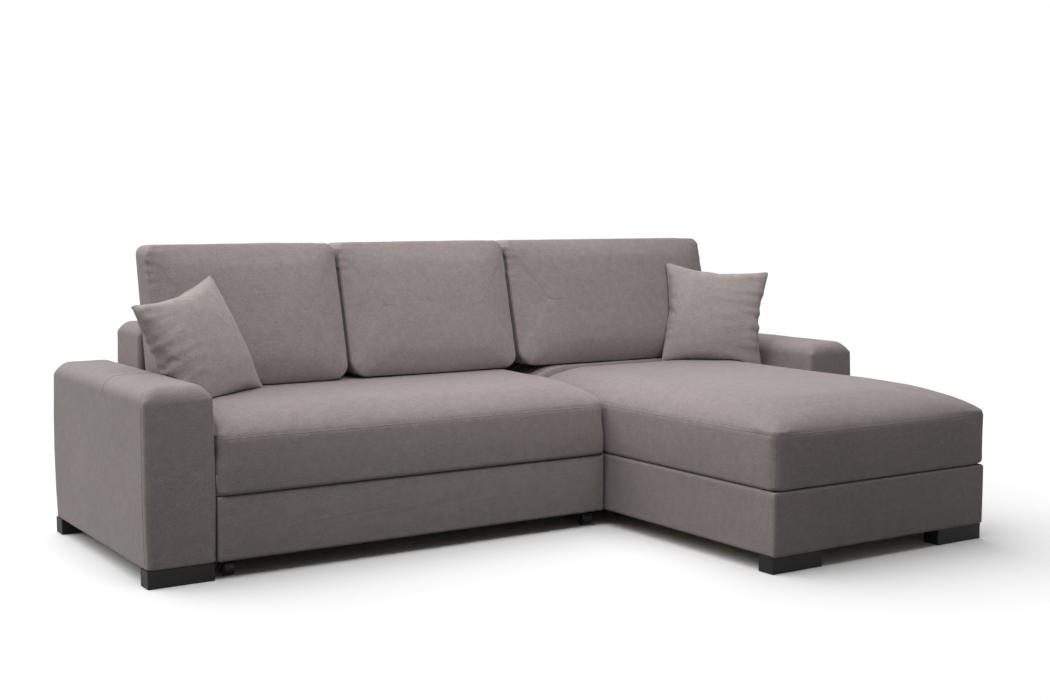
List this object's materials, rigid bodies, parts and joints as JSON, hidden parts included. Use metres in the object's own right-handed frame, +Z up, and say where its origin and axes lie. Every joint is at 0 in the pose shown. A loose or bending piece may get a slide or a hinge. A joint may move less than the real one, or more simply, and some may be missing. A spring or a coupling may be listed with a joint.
{
  "type": "corner sofa",
  "caption": "Fabric corner sofa with a chaise on one side, loose back cushions, a pull-out bed under the sofa seat and a storage box under the chaise seat.",
  "frame": {"origin": "on the floor, under the middle of the sofa's bounding box", "axes": "+X along the sofa's width towards the chaise side, +Y towards the back, +Z up"},
  "size_m": [2.72, 1.74, 0.948],
  "materials": {
    "sofa_fabric": "fine heathered weave, matt",
    "cushion_fabric": "fine heathered weave, matt",
    "pillow_fabric": "fine heathered weave, matt",
    "ticking": "plain mattress cloth",
    "webbing": "elastic webbing",
    "timber": "raw plywood and pine",
    "black_feet": "satin black",
    "castor_plastic": "black moulded",
    "roller_plastic": "white moulded",
    "buffer_rubber": "black",
    "zinc_steel": "zinc plated",
    "black_steel": "black lacquer"
  },
  "bodies": {
    "sofa": {"back_cushion_left": "cushion_fabric", "back_cushion_middle": "cushion_fabric", "back_cushion_right": "cushion_fabric", "chaise_back_cover": "sofa_fabric", "chaise_back_frame": "timber", "chaise_base_cover": "sofa_fabric", "chaise_floor": "timber", "chaise_front_board": "timber", "chaise_ledge_frame": "timber", "chaise_ledge_pad": "sofa_fabric", "chaise_left_board": "timber", "chaise_rear_board": "timber", "chaise_right_board": "timber", "feet_rear_centre": "black_feet", "foot_chaise_front_left": "black_feet", "foot_chaise_front_right": "black_feet", "foot_left_arm_front": "black_feet", "foot_left_arm_rear": "black_feet", "foot_right_arm_front": "black_feet", "foot_right_arm_rear": "black_feet", "guide_channel_left": "zinc_steel", "guide_channel_right": "zinc_steel", "hinge_fixed_leaves": "zinc_steel", "hinge_pins": "zinc_steel", "left_arm_cover": "sofa_fabric", "left_arm_frame": "timber", "lid_buffers": "buffer_rubber", "module_links": "timber", "right_arm_cover": "sofa_fabric", "right_arm_frame": "timber", "sofa_back_cover": "sofa_fabric", "sofa_back_frame": "timber", "sofa_panel_left": "timber", "sofa_panel_right": "timber", "sofa_seat_frame": "timber", "sofa_seat_pad": "sofa_fabric", "sofa_seat_webbing": "webbing", "strut_box_brackets": "zinc_steel", "throw_pillow_left": "pillow_fabric"},
    "bed": {"bed_front_board": "timber", "bed_front_cover": "sofa_fabric", "bed_side_left": "timber", "bed_side_right": "timber", "bed_centre_bearer": "timber", "bed_rear_board": "timber", "bed_slats": "timber", "bed_mattress_pad": "ticking", "castor_brackets": "zinc_steel", "castor_axles": "zinc_steel", "roller_pins": "zinc_steel"},
    "castors": {"castor_wheels": "castor_plastic"},
    "rollers": {"guide_rollers": "roller_plastic"},
    "chaise_lid": {"chaise_lid_frame": "timber", "chaise_lid_webbing": "webbing", "chaise_seat_pad": "sofa_fabric", "hinge_lid_leaves": "zinc_steel", "strut_lid_brackets": "zinc_steel"},
    "strut_cylinder": {"strut_cylinders": "black_steel"},
    "strut_rod": {"strut_rods": "zinc_steel"},
    "right_pillow": {"throw_pillow_right": "pillow_fabric"}
  },
  "joints": [
    {"name": "bed_slide", "type": "slide", "parent": "sofa", "child": "bed", "axis": [0, -1, 0], "range_m": [0, 0.54]},
    {"name": "castor_roll", "type": "hinge", "parent": "bed", "child": "castors", "pos_m": [-0.471, 0.012, 0.025], "axis": [1, 0, 0], "continuous": true},
    {"name": "roller_roll", "type": "hinge", "parent": "bed", "child": "rollers", "pos_m": [-0.471, 0.558, 0.15], "axis": [1, 0, 0], "continuous": true},
    {"name": "lid_hinge", "type": "hinge", "parent": "sofa", "child": "chaise_lid", "pos_m": [0.6685, 0.4, 0.447], "axis": [-1, 0, 0], "range_deg": [0, 34]},
    {"name": "strut_cylinder_pivot", "type": "hinge", "parent": "sofa", "child": "strut_cylinder", "pos_m": [0.6685, 0.41285, 0.12726], "axis": [-1, 0, 0], "range_deg": [0, 17]},
    {"name": "strut_rod_pivot", "type": "hinge", "parent": "chaise_lid", "child": "strut_rod", "pos_m": [0.6685, 0.12952, 0.276], "axis": [-1, 0, 0], "range_deg": [-17, 0]},
    {"name": "right_pillow_rise", "type": "slide", "parent": "sofa", "child": "right_pillow", "axis": [0, 0.2419, 0.9703], "range_m": [0, 0.17]}
  ],
  "couplings": [
    {"joint": "castor_roll", "follows": "bed_slide", "rad_per_m": 40},
    {"joint": "roller_roll", "follows": "bed_slide", "rad_per_m": 50},
    {"joint": "strut_cylinder_pivot", "follows": "lid_hinge", "ratio": 0.5},
    {"joint": "strut_rod_pivot", "follows": "lid_hinge", "ratio": -0.5},
    {"joint": "right_pillow_rise", "follows": "lid_hinge", "m_per_rad": 0.27}
  ]
}
